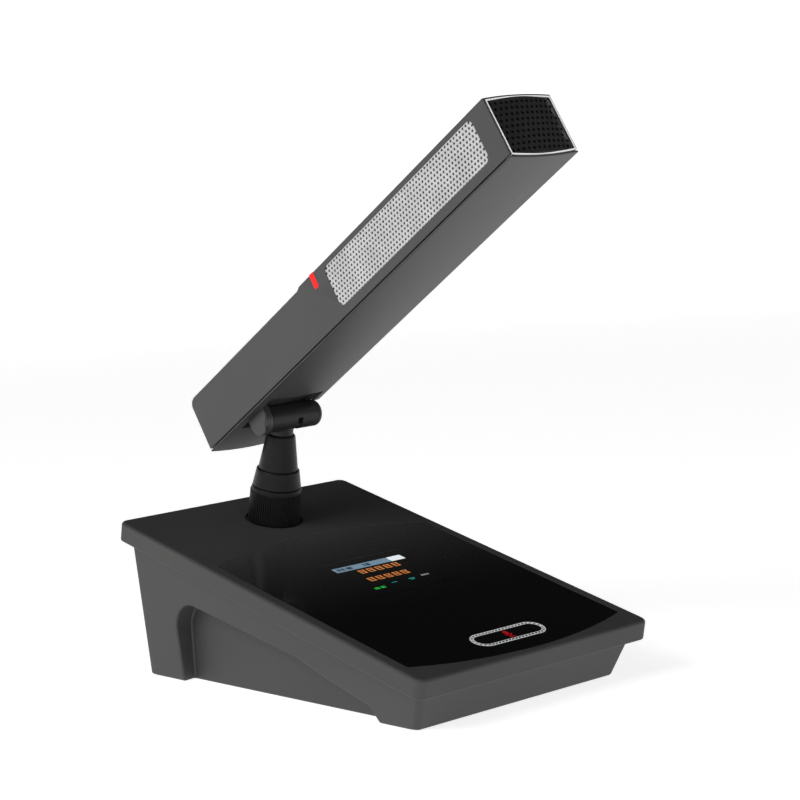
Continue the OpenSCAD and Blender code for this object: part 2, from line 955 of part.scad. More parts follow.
module bracket_screws() {
    color("#9fa1a4")
    on_mic()
    for (y = [-1, 1])
        translate([bracket_screw_x, y * bracket_screw_y,
            pocket_roof_z + roof_t + flange_plate_t])
            difference() {
                union() {
                    cylinder(r = 2.3, h = 1.5);
                    translate([0, 0, -flange_plate_t - roof_t + 0.2])
                        cylinder(r = 1.2, h = flange_plate_t + roof_t);
                }
                translate([0, 0, 0.8])
                    cylinder(r = 0.8, h = 1, $fn = 6);
            }
}

// Microphone.

// Runs a section along the microphone from u0 to u1, both measured from the tail.
module along(u0, u1) {
    translate([0, pivot_u - u0, 0])
        rotate([90, 0, 0])
            linear_extrude(u1 - u0)
                children();
}

// Section with flat sides and a crowned top.
module crowned(w, h, z0) {
    arc = (w * w / 4 + crown * crown) / (2 * crown);
    intersection() {
        translate([-w / 2, z0])
            square([w, h + crown - z0]);
        translate([0, h + crown - arc])
            circle(r = arc, $fn = crown_fn);
    }
}

module grille_outline(grow) {
    translate([-(pivot_u - grille_at - grille_len / 2), grille_mid])
        round_rect(grille_len + 2 * grow, grille_h + 2 * grow, grille_r + grow);
}

// Sheet or cutter on one side face; side is -1 for left and 1 for right.
module on_side(side, x0, t) {
    translate([side > 0 ? x0 : -x0 - t, 0, 0])
        rotate([90, 0, 90])
            linear_extrude(t)
                mirror([1, 0, 0])
                    children();
}

module mic_shell() {
    color("#4b4c4e")
    on_mic()
    difference() {
        union() {
            along(0, step_at)
                crowned(mic_w, mic_h - mic_step, groove);
            along(step_at, mic_len)
                crowned(mic_w, mic_h, groove);
        }
        along(mic_wall, step_at + 1)
            crowned(mic_w - 2 * mic_wall, mic_h - mic_step - mic_wall, -1);
        along(step_at, mic_len - trim_d + 1)
            crowned(mic_w - 2 * mic_wall, mic_h - mic_wall, -1);
        along(mic_len - trim_d, mic_len + 1)
            head_section(0);
        translate([0, pivot_u - tail_r, mic_h - mic_step - tail_r])
            difference() {
                translate([-mic_w, 0, 0])
                    cube([2 * mic_w, tail_r + 1, tail_r + crown + 1]);
                rod_x(tail_r, -mic_w - 1, mic_w + 1);
                translate([-mic_w, -1, -1])
                    cube([2 * mic_w, 1.01, tail_r + crown + 3]);
            }
        for (side = [-1, 1])
            on_side(side, mic_w / 2 - mic_wall - 1, mic_wall + 2)
                grille_outline(seat_gap);
        along(light_at, light_at + light_w)
            crowned(mic_w + 2, mic_h + 1, mic_h - light_down);
        translate([0, 0, -pivot_drop])
            rod_x(barrel_r + 0.4, mic_w / 2 - mic_wall - 1, mic_w);
    }
}

module mic_cover() {
    roof_top = pocket_roof_z + roof_t;
    left = -pocket_left - pocket_wall;
    block_w = pocket_right + pocket_wall - left;
    block_l = pocket_front + pocket_rear + 2 * pocket_wall;
    color("#454648")
    on_mic()
    difference() {
        union() {
            along(0, mic_len)
                mirror([0, 1])
                    crowned(mic_w, cover_edge, -cover_rise);
            along(mic_wall + seat_gap, mic_len - trim_d)
                translate([-land_half, 0])
                    square([2 * land_half, land_t]);
            translate([left, -pocket_front - pocket_wall, -cover_edge / 2])
                cube([block_w, block_l, roof_top + cover_edge / 2]);
        }
        translate([-pocket_left, -pocket_front, -crown - 2])
            cube([pocket_right + pocket_left, pocket_front + pocket_rear,
                pocket_roof_z + crown + 2]);
        along(mic_len - trim_d, mic_len + 1)
            head_section(0);
        translate([0, 0, -pivot_drop])
            rod_x(barrel_r + 0.4, pocket_right - 1, mic_w);
        translate([-pocket_left + 0.1, -ear_r - free_gap, 1])
            cube([ear_t + 2 * free_gap, 2 * (ear_r + free_gap), roof_top + 1]);
        for (y = [-1, 1])
            translate([bracket_screw_x, y * bracket_screw_y, 0])
                cylinder(r = 1.2, h = 20);
    }
}

module side_grille(side) {
    color("#cfd1d3")
    on_mic()
    on_side(side, mic_w / 2 - grille_t - 0.2, grille_t)
        grille_outline(0);
}

module side_grille_left() {
    side_grille(-1);
}

module side_grille_right() {
    side_grille(1);
}

// Lit band across the top and a little way down each side.
module status_light() {
    color("#e11414")
    on_mic()
    difference() {
        along(light_at + seat_gap / 2, light_at + light_w - seat_gap / 2)
            crowned(mic_w + 0.2, mic_h + 0.1, mic_h - light_down + seat_gap / 2);
        along(light_at - 1, light_at + light_w + 1)
            crowned(mic_w - 2 * mic_wall, mic_h - mic_wall, 0);
    }
}

// Crowned opening of the head, drawn in from the outline of the microphone.
module head_section(inset) {
    depth = head_rim + inset;
    crowned(mic_w - 2 * depth, mic_h - depth, mic_h / 2 - eps);
    mirror([0, 1])
        crowned(mic_w - 2 * depth, cover_edge - depth, -mic_h / 2);
}

module head_trim() {
    color("#d9dbdd")
    on_mic()
    along(mic_len - trim_d + 0.2, mic_len + trim_out)
        difference() {
            head_section(0);
            head_section(trim_t);
        }
}

// Black mesh block with a bulged face.
module end_grille() {
    half = mic_w / 2 - head_rim - trim_t;
    arc = (half * half + mesh_bulge * mesh_bulge) / (2 * mesh_bulge);
    color("#141415")
    on_mic()
    intersection() {
        along(mic_len - trim_d + 0.2, mic_len + 3)
            head_section(trim_t);
        translate([0, pivot_u - mic_len - mesh_out + arc, -5])
            cylinder(r = arc, h = mic_h + 10, $fn = crown_fn);
    }
}

module foam_insert() {
    color("#1a1a1b")
    on_mic()
    difference() {
        along(grille_at + 2, mic_len - trim_d)
            translate([-mic_w / 2 + mic_wall + 0.6, land_t])
                square([mic_w - 2 * mic_wall - 1.2, mic_h - mic_wall - land_t]);
        capsule_rods();
    }
}

// The row of capsules behind the side grilles.
module capsule_rods() {
    pitch_u = (grille_len - 26) / (capsule_count - 1);
    for (i = [0 : capsule_count - 1])
        translate([0, pivot_u - grille_at - 16 - i * pitch_u, grille_mid])
            rotate([90, 0, 0])
                cylinder(r = capsule_r, h = capsule_l);
}

module mic_capsules() {
    color("#c6b98a")
    on_mic()
        capsule_rods();
}

module mic_board() {
    color("#1f5a34")
    on_mic()
    difference() {
        union() {
            along(mic_board_at, mic_board_at + mic_board_len)
                translate([-12, mic_board_z])
                    square([24, board_t]);
            for (u = [4, mic_board_len - 4])
                translate([0, pivot_u - mic_board_at - u, land_t])
                    cylinder(r = 2.5, h = mic_board_z - land_t + eps);
            translate([-5, pivot_u - mic_board_at - 30, mic_board_z + board_t])
                cube([10, 8, 1.5]);
        }
        for (u = [4, mic_board_len - 4])
            translate([0, pivot_u - mic_board_at - u, land_t - 1])
                cylinder(r = 1.1, h = 8);
    }
}

module mic_board_screws() {
    color("#9fa1a4")
    on_mic()
    for (u = [4, mic_board_len - 4])
        translate([0, pivot_u - mic_board_at - u, mic_board_z + board_t])
            difference() {
                union() {
                    cylinder(r = 2, h = 1.3);
                    translate([0, 0, -board_t - 3])
                        cylinder(r = 1.1, h = board_t + 3.5);
                }
                translate([0, 0, 0.7])
                    cylinder(r = 0.7, h = 1, $fn = 6);
            }
}

base_housing();
top_cover();
base_plate();
rubber_feet();
base_screws();
ballast_plate();
board_standoffs();
main_board();
board_screws();
battery_pack();
charge_inlet();
touch_panel();
display_module();
key_outline();
key_symbol();
touch_board();
stalk_socket();
socket_screws();
lock_ring();
stalk_core();
stalk_collar();
stalk_cone();
pivot_barrel();
barrel_cap();
pivot_bushing();
pivot_shaft();
stop_pin();
shaft_washer();
shaft_screw();
pivot_bracket();
bracket_screws();
mic_shell();
mic_cover();
side_grille_left();
side_grille_right();
status_light();
head_trim();
end_grille();
foam_insert();
mic_capsules();
mic_board();
mic_board_screws();
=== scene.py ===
import json
import math
import bpy
import bmesh
from mathutils import Matrix, Vector


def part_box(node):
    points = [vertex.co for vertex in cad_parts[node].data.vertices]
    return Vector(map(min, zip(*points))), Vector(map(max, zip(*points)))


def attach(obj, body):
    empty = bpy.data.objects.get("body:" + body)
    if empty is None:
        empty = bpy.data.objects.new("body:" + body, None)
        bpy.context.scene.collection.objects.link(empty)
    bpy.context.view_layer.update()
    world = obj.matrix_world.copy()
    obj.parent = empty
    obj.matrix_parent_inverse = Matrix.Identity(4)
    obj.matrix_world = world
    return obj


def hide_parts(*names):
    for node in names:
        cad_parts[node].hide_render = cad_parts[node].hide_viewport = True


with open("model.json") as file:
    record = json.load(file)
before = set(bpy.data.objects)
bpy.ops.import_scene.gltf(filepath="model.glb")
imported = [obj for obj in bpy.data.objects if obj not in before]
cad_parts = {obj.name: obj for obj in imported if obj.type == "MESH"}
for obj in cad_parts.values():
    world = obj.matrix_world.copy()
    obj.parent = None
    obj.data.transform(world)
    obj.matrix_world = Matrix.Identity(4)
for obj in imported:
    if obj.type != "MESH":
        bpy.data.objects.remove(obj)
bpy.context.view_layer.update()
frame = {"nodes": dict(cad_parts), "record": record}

# Desk conference microphone: finishes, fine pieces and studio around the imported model.
nodes = frame["nodes"]
joints = {j["name"]: j for j in frame["record"]["behaviour"]["joints"]}
mm = 0.001

# Sizes in mm, angles in degrees.
desk = {"slope": 13.6, "stalkFromRear": 29.9}
mic = {"pitch": 31.6, "pivotFromTail": 34.7, "pivotDrop": 3.9, "length": 245,
       "width": 38, "height": 27.4}

# Frames: X is right, -Y is toward the talker, Z leaves the surface.
coverFrame = (Matrix.Translation(Vector(joints["stalk_swivel"]["pos_m"]))
              @ Matrix.Rotation(math.radians(desk["slope"]), 4, "X")
              @ Matrix.Translation((0, desk["stalkFromRear"] * mm, 0)))
micFrame = (Matrix.Translation(Vector(joints["mic_tilt"]["pos_m"]))
            @ Matrix.Rotation(math.radians(-mic["pitch"]), 4, "X")
            @ Matrix.Translation((0, 0, mic["pivotDrop"] * mm)))


class Num:  # a number socket that takes arithmetic
    def __init__(self, finish, socket):
        self.finish, self.socket = finish, socket

    def math(self, operation, a, b):
        return self.finish.node("ShaderNodeMath", {"operation": operation}, {0: a, 1: b})

    def __add__(self, other):
        return self.math("ADD", self, other)

    def __radd__(self, other):
        return self.math("ADD", other, self)

    def __sub__(self, other):
        return self.math("SUBTRACT", self, other)

    def __rsub__(self, other):
        return self.math("SUBTRACT", other, self)

    def __mul__(self, other):
        return self.math("MULTIPLY", self, other)

    def __rmul__(self, other):
        return self.math("MULTIPLY", other, self)


class Finish:  # builds one material, node by node
    def __init__(self, name):
        self.material = bpy.data.materials.new(name)
        self.material.use_nodes = True
        self.tree = self.material.node_tree
        self.tree.nodes.clear()
        self.place = self.node("ShaderNodeTexCoord", {}, {}, "Object")

    def node(self, kind, settings, values, out=0):
        made = self.tree.nodes.new(kind)
        for key, value in settings.items():
            setattr(made, key, value)
        for key, value in values.items():
            if isinstance(value, Num):
                self.tree.links.new(value.socket, made.inputs[key])
            elif value is not None:
                made.inputs[key].default_value = value
        return Num(self, made.outputs[out])

    def noise(self, size, detail=2, rough=0.5, stretch=None):  # size of one lump in mm
        place = self.place
        if stretch:
            place = self.node("ShaderNodeMapping", {}, {"Vector": place, "Scale": stretch})
        return self.node("ShaderNodeTexNoise", {}, {
            "Vector": place, "Scale": 1 / (size * mm), "Detail": detail, "Roughness": rough})

    def cells(self, size):  # size of one cell in mm
        return self.node("ShaderNodeTexVoronoi", {}, {
            "Vector": self.place, "Scale": 1 / (size * mm)})

    def ramp(self, value, low, high):  # 0 at low, 1 at high
        return self.node("ShaderNodeMapRange", {"clamp": True},
                         {"Value": value, "From Min": low, "From Max": high})

    def blend(self, share, first, second):
        first, second = [c if isinstance(c, Num) else (*c, 1) for c in (first, second)]
        values = {0: share, 6: first, 7: second}  # the colour sockets of the Mix node
        return self.node("ShaderNodeMix", {"data_type": "RGBA"}, values, 2)

    def bump(self, height, depth, under=None):  # depth in mm
        return self.node("ShaderNodeBump", {}, {"Strength": 1.0, "Distance": depth * mm,
                         "Height": height, "Normal": under})

    def done(self, **values):
        shader = self.node("ShaderNodeBsdfPrincipled", {},
                           {key.replace("_", " "): value for key, value in values.items()})
        end = self.tree.nodes.new("ShaderNodeOutputMaterial")
        self.tree.links.new(shader.socket, end.inputs["Surface"])
        return self.material


def grey(value, warm=0.0):
    return (value * (1 + warm), value, value * (1 - warm))


# Sizes and depths of the finishes are in mm. "dark" and "light" multiply the shade, "fleckSize"
# the grain size, and "fineSize" further down the spark size.
paint = {"grainSize": 0.22, "grainDepth": 0.012, "cloudSize": 38, "dark": 0.93, "light": 1.06,
         "fleckSize": 2.6, "fleckShare": 0.22, "fleckLight": 1.35, "rubSize": 9, "polish": 0.09,
         "waveSize": 14, "waveDepth": 0.02}


def satinPaint(name, shade, roughness, grainSize=paint["grainSize"],
               grainDepth=paint["grainDepth"], specular=0.5):
    p, f = paint, Finish(name)
    cloud = f.noise(p["cloudSize"], 3, 0.55)
    grain = f.noise(grainSize, 2, 0.6)
    fleck = f.ramp(f.noise(grainSize * p["fleckSize"], 1, 0.4), 0.35, 0.7)
    rub = f.ramp(f.noise(p["rubSize"], 5, 0.68), 0.62, 0.78)  # where hands have polished it
    colour = f.blend(f.ramp(cloud, 0.3, 0.7), grey(shade * p["dark"]), grey(shade * p["light"]))
    colour = f.blend(fleck * p["fleckShare"], colour, grey(shade * p["fleckLight"]))
    normal = f.bump(f.noise(p["waveSize"], 2, 0.5), p["waveDepth"])
    normal = f.bump(grain, grainDepth, normal)
    return f.done(Base_Color=colour, Metallic=0.0,
                  Roughness=roughness + 0.1 * grain - p["polish"] * rub + 0.05 * cloud - 0.05,
                  Specular_IOR_Level=specular, Normal=normal)


mould = {"sparkSize": 0.55, "sparkDepth": 0.03, "cloudSize": 60, "dark": 0.94, "light": 1.05,
         "fineSize": 0.45, "scuffSize": 7, "scuffStretch": (1.0, 0.35, 1.0), "pitShare": 0.25,
         "pitDark": 0.72, "waveSize": 22, "waveDepth": 0.03}


def mouldedPlastic(name, shade, roughness, sparkSize=mould["sparkSize"],
                   sparkDepth=mould["sparkDepth"], warm=0.0, specular=0.4):
    p, f = mould, Finish(name)
    cloud = f.noise(p["cloudSize"], 3, 0.5)
    spark = f.cells(sparkSize)
    fine = f.noise(sparkSize * p["fineSize"], 3, 0.65)
    scuff = f.ramp(f.noise(p["scuffSize"], 6, 0.72, p["scuffStretch"]), 0.6, 0.8)
    colour = f.blend(f.ramp(cloud, 0.3, 0.7), grey(shade * p["dark"], warm),
                     grey(shade * p["light"], warm))
    pits = f.ramp(spark, 0.1, 0.6) * p["pitShare"]
    colour = f.blend(pits, colour, grey(shade * p["pitDark"], warm))
    normal = f.bump(f.noise(p["waveSize"], 1, 0.4), p["waveDepth"])  # waviness of a moulded wall
    normal = f.bump(spark + 0.6 * fine, sparkDepth, normal)
    return f.done(Base_Color=colour, Roughness=roughness + 0.12 * fine + 0.06 * scuff - 0.06,
                  Specular_IOR_Level=specular, Normal=normal)


# The panel is black up to "dark" and lightens with a painted reflection up to "light", in mm
# toward the rear.
inkAndPaintedReflection = {"dark": -35, "light": 60, "black": 0.001, "shade": 0.075, "warm": 0.02}
panelFilm = {"size": 24, "haze": 0.05, "wipeSize": 5, "wipeStretch": (0.2, 1.0, 1.0),
             "wipe": 0.07, "dustSize": 0.7, "dust": 0.2, "dustShare": 0.08, "dustShade": 0.08,
             "polish": 0.07, "waveSize": 60, "waveDepth": 0.003}


def glassPanel(name):
    p, f = panelFilm, Finish(name)
    depth = f.node("ShaderNodeSeparateXYZ", {}, {0: f.place}, 1)
    paintedReflection = f.ramp(depth, inkAndPaintedReflection["dark"] * mm, inkAndPaintedReflection["light"] * mm)
    film = f.noise(p["size"], 4, 0.6)  # the thin haze that fingers leave
    wipe = f.ramp(f.noise(p["wipeSize"], 5, 0.7, p["wipeStretch"]), 0.55, 0.85)
    dust = f.ramp(f.noise(p["dustSize"], 1, 0.5), 0.76, 0.82)
    # painted reflection: the black panel grows lighter toward the rear
    colour = f.blend(paintedReflection * paintedReflection, grey(inkAndPaintedReflection["black"]), grey(inkAndPaintedReflection["shade"], inkAndPaintedReflection["warm"]))
    colour = f.blend(dust * p["dustShare"], colour, grey(p["dustShade"]))
    return f.done(Base_Color=colour,
                  Roughness=p["polish"] + p["haze"] * film + p["wipe"] * wipe + p["dust"] * dust,
                  Specular_IOR_Level=0.38, Coat_Weight=0.1, Coat_Roughness=0.06,
                  Normal=f.bump(f.noise(p["waveSize"], 1, 0.3), p["waveDepth"]))


# "brush" stretches the fine lines of a brushed metal.
metalLook = {"lineSize": 0.5, "grainSize": 0.35, "stainSize": 11, "dark": 0.86, "light": 1.05}


def metal(name, shade, roughness, brush=None, depth=0.004, tint=None, metallic=1.0):
    p, f = metalLook, Finish(name)
    lines = f.noise(p["lineSize"] if brush else p["grainSize"], 3, 0.6, brush)
    stain = f.noise(p["stainSize"], 4, 0.6)
    low, high = [tuple(c * p[k] for c in tint or grey(shade)) for k in ("dark", "light")]
    colour = f.blend(f.ramp(stain, 0.35, 0.68), low, high)
    return f.done(Base_Color=colour, Metallic=metallic,
                  Roughness=roughness + 0.14 * lines + 0.08 * stain - 0.09,
                  Normal=f.bump(lines, depth))


rubberLook = {"poreSize": 0.4, "poreDepth": 0.04, "lumpSize": 6, "shade": 0.02, "dust": 0.075}


def rubber(name):
    p, f = rubberLook, Finish(name)
    pores, lumps = f.cells(p["poreSize"]), f.noise(p["lumpSize"], 3, 0.6)
    dusty = f.ramp(lumps, 0.5, 0.72)
    return f.done(Base_Color=f.blend(dusty * 0.4, grey(p["shade"]), grey(p["dust"], 0.04)),
                  Roughness=0.78 + 0.14 * lumps, Specular_IOR_Level=0.25,
                  Normal=f.bump(pores, p["poreDepth"]))


foamLook = {"poreSize": 0.75, "poreDepth": 0.3, "shadedHollow": 0.002, "web": 0.014}


def foam(name):
    p, f = foamLook, Finish(name)
    pores = f.cells(p["poreSize"])
    # painted shade: the sunken middle of each pore is darker
    return f.done(Base_Color=f.blend(f.ramp(pores, 0.1, 0.6), grey(p["shadedHollow"]), grey(p["web"])),
                  Roughness=0.95 - 0.1 * pores, Specular_IOR_Level=0.1,
                  Normal=f.bump(pores, p["poreDepth"]))


boardLook = {"trackSize": 2.4, "trackStretch": (1.0, 0.12, 1.0), "trackDepth": 0.03,
             "green": (0.006, 0.07, 0.022), "track": (0.012, 0.13, 0.04)}


def circuitBoard(name):
    p, f = boardLook, Finish(name)
    tracks = f.ramp(f.noise(p["trackSize"], 2, 0.4, p["trackStretch"]), 0.5, 0.53)
    colour = f.blend(tracks * 0.6, p["green"], p["track"])
    return f.done(Base_Color=colour, Roughness=0.32 + 0.12 * f.noise(0.5),
                  Coat_Weight=0.3, Normal=f.bump(tracks, p["trackDepth"]))


wrapLook = {"crinkleSize": 5, "crinkleDepth": 0.12, "shadedFold": (0.03, 0.06, 0.16),
            "film": (0.05, 0.09, 0.22)}


def wrap(name):
    p, f = wrapLook, Finish(name)
    crinkle = f.noise(p["crinkleSize"], 4, 0.6)
    # painted shade: the film is darker in the low creases and lighter on the raised ones
    return f.done(Base_Color=f.blend(crinkle, p["shadedFold"], p["film"]),
                  Roughness=0.28 + 0.2 * crinkle, Normal=f.bump(crinkle, p["crinkleDepth"]))


glowSize = 1.2  # size of the uneven spots in a lit shape, in mm


def lit(name, colour, power, base=None, mottle=0.18):
    f = Finish(name)
    uneven = f.ramp(f.noise(glowSize, 2, 0.5), 0.3, 0.7)
    dim = tuple(c * (1 - mottle) for c in colour)
    return f.done(Base_Color=(*(base or tuple(c * 0.5 for c in colour)), 1),
                  Emission_Color=f.blend(uneven, dim, colour), Emission_Strength=power,
                  Roughness=0.3 + 0.15 * uneven, Specular_IOR_Level=0.3)


finishes = {
    "micPaint": satinPaint("micPaint", 0.053, 0.46),
    "housingMould": mouldedPlastic("housingMould", 0.046, 0.5),
    "coverMould": mouldedPlastic("coverMould", 0.062, 0.54, 0.4, 0.018, 0.012, 0.3),
    "panelGlass": glassPanel("panelGlass"),
    "screenGlass": glassPanel("screenGlass"),
    "stalkBlack": satinPaint("stalkBlack", 0.009, 0.36, 0.3, 0.01, specular=0.2),
    "barrelBlack": satinPaint("barrelBlack", 0.018, 0.38, 0.3, 0.01, specular=0.3),
    "ringBlack": satinPaint("ringBlack", 0.008, 0.42, 0.25, 0.012, specular=0.22),
    "earPaint": satinPaint("earPaint", 0.04, 0.4, 0.3, 0.012),
    "steel": metal("steel", 0.5, 0.3, (1, 0.1, 1)),
    "darkSteel": metal("darkSteel", 0.12, 0.42),
    "brass": metal("brass", 0.5, 0.3, tint=(0.6, 0.42, 0.18)),
    "grilleSteel": metal("grilleSteel", 0.6, 0.42, depth=0.002, metallic=0.3),
    "chrome": metal("chrome", 0.8, 0.16, depth=0.0006),
    "meshBlack": satinPaint("meshBlack", 0.012, 0.45, 0.3, 0.01, specular=0.3),
    "rubber": rubber("rubber"),
    "foam": foam("foam"),
    "board": circuitBoard("board"),
    "wrap": wrap("wrap"),
    "bushing": mouldedPlastic("bushing", 0.03, 0.5, 0.5, 0.01),
    "redLight": lit("redLight", (1.0, 0.002, 0.001), 0.95, (0.35, 0.0, 0.0)),
    "redSymbol": lit("redSymbol", (0.42, 0.004, 0.012), 0.8, (0.1, 0.0, 0.005), 0.35),
    "keyWhite": lit("keyWhite", (0.8, 0.82, 0.83), 0.7, (0.3, 0.3, 0.3)),
    "barBlue": lit("barBlue", (0.16, 0.25, 0.33), 0.9),
    "barWhite": lit("barWhite", (0.75, 0.8, 0.82), 0.95),
    "barDark": lit("barDark", (0.03, 0.06, 0.09), 0.6),
    "textOrange": lit("textOrange", (0.68, 0.23, 0.06), 0.85),
    "textGreen": lit("textGreen", (0.03, 0.55, 0.06), 0.8),
    "textTeal": lit("textTeal", (0.02, 0.32, 0.3), 0.7),
    "textGrey": lit("textGrey", (0.4, 0.42, 0.42), 0.6),
}
print("finishes", len(finishes))

nodeFinish = {
    "base_housing": "housingMould", "top_cover": "coverMould", "base_plate": "housingMould",
    "rubber_feet": "rubber", "base_screws": "darkSteel", "ballast_plate": "steel",
    "board_standoffs": "brass", "main_board": "board", "board_screws": "steel",
    "battery_pack": "wrap", "charge_inlet": "steel", "touch_panel": "panelGlass",
    "display_module": "screenGlass", "key_outline": "keyWhite", "key_symbol": "redSymbol",
    "touch_board": "board", "stalk_socket": "darkSteel", "socket_screws": "steel",
    "lock_ring": "ringBlack", "stalk_core": "steel", "stalk_collar": "stalkBlack",
    "stalk_cone": "stalkBlack", "pivot_barrel": "barrelBlack", "barrel_cap": "barrelBlack",
    "pivot_bushing": "bushing", "pivot_shaft": "steel", "stop_pin": "darkSteel",
    "shaft_washer": "steel", "shaft_screw": "steel", "pivot_bracket": "earPaint",
    "bracket_screws": "steel", "mic_shell": "micPaint", "mic_cover": "micPaint",
    "side_grille_left": "grilleSteel", "side_grille_right": "grilleSteel",
    "status_light": "redLight", "head_trim": "chrome", "end_grille": "meshBlack",
    "foam_insert": "foam", "mic_capsules": "brass", "mic_board": "board",
    "mic_board_screws": "steel"}
for name, finish in nodeFinish.items():
    for holder in nodes[name].material_slots:
        holder.link = "OBJECT"
        holder.material = finishes[finish]

bodyOf = {n: b for b, names in frame["record"]["behaviour"]["bodies"].items() for n in names}


def addPiece(name, mesh, finish, body, *stands, slot=None):
    piece = bpy.data.objects.new(name, mesh)
    bpy.context.scene.collection.objects.link(piece)
    if not mesh.materials:
        mesh.materials.append(finishes[finish])
    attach(piece, body)
    if stands:
        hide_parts(*stands)


def fromBmesh(name, bm, matrix=None, smooth=35):  # a matrix also takes the shape from mm to m
    if matrix:
        bmesh.ops.transform(bm, matrix=matrix @ Matrix.Scale(mm, 4), verts=bm.verts)
    bmesh.ops.recalc_face_normals(bm, faces=bm.faces)
    mesh = bpy.data.meshes.new(name)
    bm.to_mesh(mesh)
    bm.free()
    mesh.shade_smooth()
    mesh.set_sharp_from_angle(angle=math.radians(smooth))
    return mesh


def applied(name, mesh, *settings):  # mesh with its modifiers applied
    holder = bpy.data.objects.new(name + "Holder", mesh)
    bpy.context.scene.collection.objects.link(holder)
    for kind, values in settings:
        modifier = holder.modifiers.new(kind.title(), kind)
        for key, value in values.items():
            setattr(modifier, key, value)
    graph = bpy.context.evaluated_depsgraph_get()
    result = bpy.data.meshes.new_from_object(holder.evaluated_get(graph), depsgraph=graph)
    bpy.data.objects.remove(holder)
    result.name = name
    return result


softEdges = {  # node: (edge radius in mm, smallest edge angle in degrees)
    "base_housing": (0.9, 25), "top_cover": (0.55, 40), "touch_panel": (0.18, 40),
    "mic_shell": (0.45, 40), "mic_cover": (0.35, 40), "pivot_bracket": (0.5, 40),
    "status_light": (0.12, 40), "head_trim": (0.12, 40), "pivot_barrel": (0.3, 40),
    "stalk_collar": (0.35, 35), "stalk_cone": (0.35, 35), "rubber_feet": (0.4, 40),
    "base_plate": (0.3, 40), "lock_ring": (0.08, 60)}
softening = {"merge": 2e-6, "segments": 3, "normalWeight": 80}

# Where edges stay sharp, in mm: round the inlet, then on the microphone shell the side openings,
# the slot of the status light, the step behind it and the notch over the barrel. Pairs are
# distances from the tail, or heights for "grilleHeight".
sharpZones = {"inletHalf": 8, "inletDepth": 5, "grille": (118, 237), "grilleHeight": (3, 26),
              "light": (110, 114), "step": (100.5, 101.5), "notchHalf": 9, "notchHeight": 6}


def staysSharp(node, edge):
    z = sharpZones
    if node == "base_housing":
        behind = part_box("charge_inlet")[0][1] - z["inletDepth"] * mm
        return all(abs(v.co.x) < z["inletHalf"] * mm and v.co.y > behind for v in edge.verts)
    if node != "mic_shell":
        return False
    toMic = micFrame.inverted()
    ends = [toMic @ v.co / mm for v in edge.verts]
    along = [mic["pivotFromTail"] - p.y for p in ends]
    grille, light, step = [z[k][0] < min(along) and max(along) < z[k][1]
                           for k in ("grille", "light", "step")]
    low, high = z["grilleHeight"]
    grille = grille and all(low < p.z < high for p in ends)
    notch = all(abs(p.y) < z["notchHalf"] and p.z < z["notchHeight"] for p in ends)
    return grille or light or step or notch


def soften(node, radius, angle):  # a piece for the node, with its outer edges rounded
    bm = bmesh.new()
    bm.from_mesh(nodes[node].data)
    bmesh.ops.remove_doubles(bm, verts=bm.verts, dist=softening["merge"])
    weight = bm.edges.layers.float.new("bevel_weight_edge")
    for edge in bm.edges:
        turned = len(edge.link_faces) == 2 and edge.calc_face_angle() > math.radians(angle)
        edge[weight] = float(turned and not staysSharp(node, edge))
    mesh = bpy.data.meshes.new(node)
    bm.to_mesh(mesh)
    bm.free()
    mesh.materials.clear()
    mesh.shade_smooth()
    mesh.set_sharp_from_angle(angle=math.radians(angle))
    bevel = {"width": radius * mm, "segments": softening["segments"], "limit_method": "WEIGHT",
             "use_clamp_overlap": False, "miter_outer": "MITER_ARC"}
    shading = {"weight": softening["normalWeight"], "keep_sharp": True}
    mesh = applied("soft_" + node, mesh, ("BEVEL", bevel), ("WEIGHTED_NORMAL", shading))
    addPiece("soft_" + node, mesh, nodeFinish[node], bodyOf[node], node)


for node, (radius, angle) in softEdges.items():
    soften(node, radius, angle)
print("softened", len(softEdges))


class Tree:  # builds one geometry tree for what repeats, node by node
    def __init__(self, name, **inputs):
        self.tree = bpy.data.node_groups.new(name, "GeometryNodeTree")
        face = self.tree.interface
        face.new_socket("Geometry", in_out="INPUT", socket_type="NodeSocketGeometry")
        self.values = {}
        for label, value in inputs.items():
            kind = ("NodeSocketMaterial" if isinstance(value, bpy.types.Material) else
                    "NodeSocketInt" if isinstance(value, int) else "NodeSocketFloat")
            made = face.new_socket(label, in_out="INPUT", socket_type=kind)
            self.values[made.identifier] = value
        face.new_socket("Geometry", in_out="OUTPUT", socket_type="NodeSocketGeometry")
        self.given = self.tree.nodes.new("NodeGroupInput")

    def node(self, kind, settings, values, out=0):
        made = self.tree.nodes.new(kind)
        for key, value in settings.items():
            setattr(made, key, value)
        for key, value in values.items():
            if isinstance(value, bpy.types.NodeSocket):
                self.tree.links.new(value, made.inputs[key])
            else:
                made.inputs[key].default_value = value
        return made.outputs[out]

    def math(self, operation, a, b=0.0):
        return self.node("ShaderNodeMath", {"operation": operation}, {0: a, 1: b})

    def made(self, shape, base):  # runs the tree on a base mesh and gives the plain result
        shape = self.node("GeometryNodeRealizeInstances", {}, {0: shape})
        shape = self.node("GeometryNodeSetMaterial", {}, {
            0: shape, "Material": self.given.outputs["Finish"]})
        end = self.tree.nodes.new("NodeGroupOutput")
        self.tree.links.new(shape, end.inputs[0])
        holder = bpy.data.objects.new(self.tree.name + "Holder", base)
        bpy.context.scene.collection.objects.link(holder)
        modifier = holder.modifiers.new("Repeat", "NODES")
        modifier.node_group = self.tree
        for key, value in self.values.items():
            modifier[key] = value
        graph = bpy.context.evaluated_depsgraph_get()
        mesh = bpy.data.meshes.new_from_object(holder.evaluated_get(graph), depsgraph=graph)
        bpy.data.objects.remove(holder)
        mesh.name = self.tree.name
        return mesh


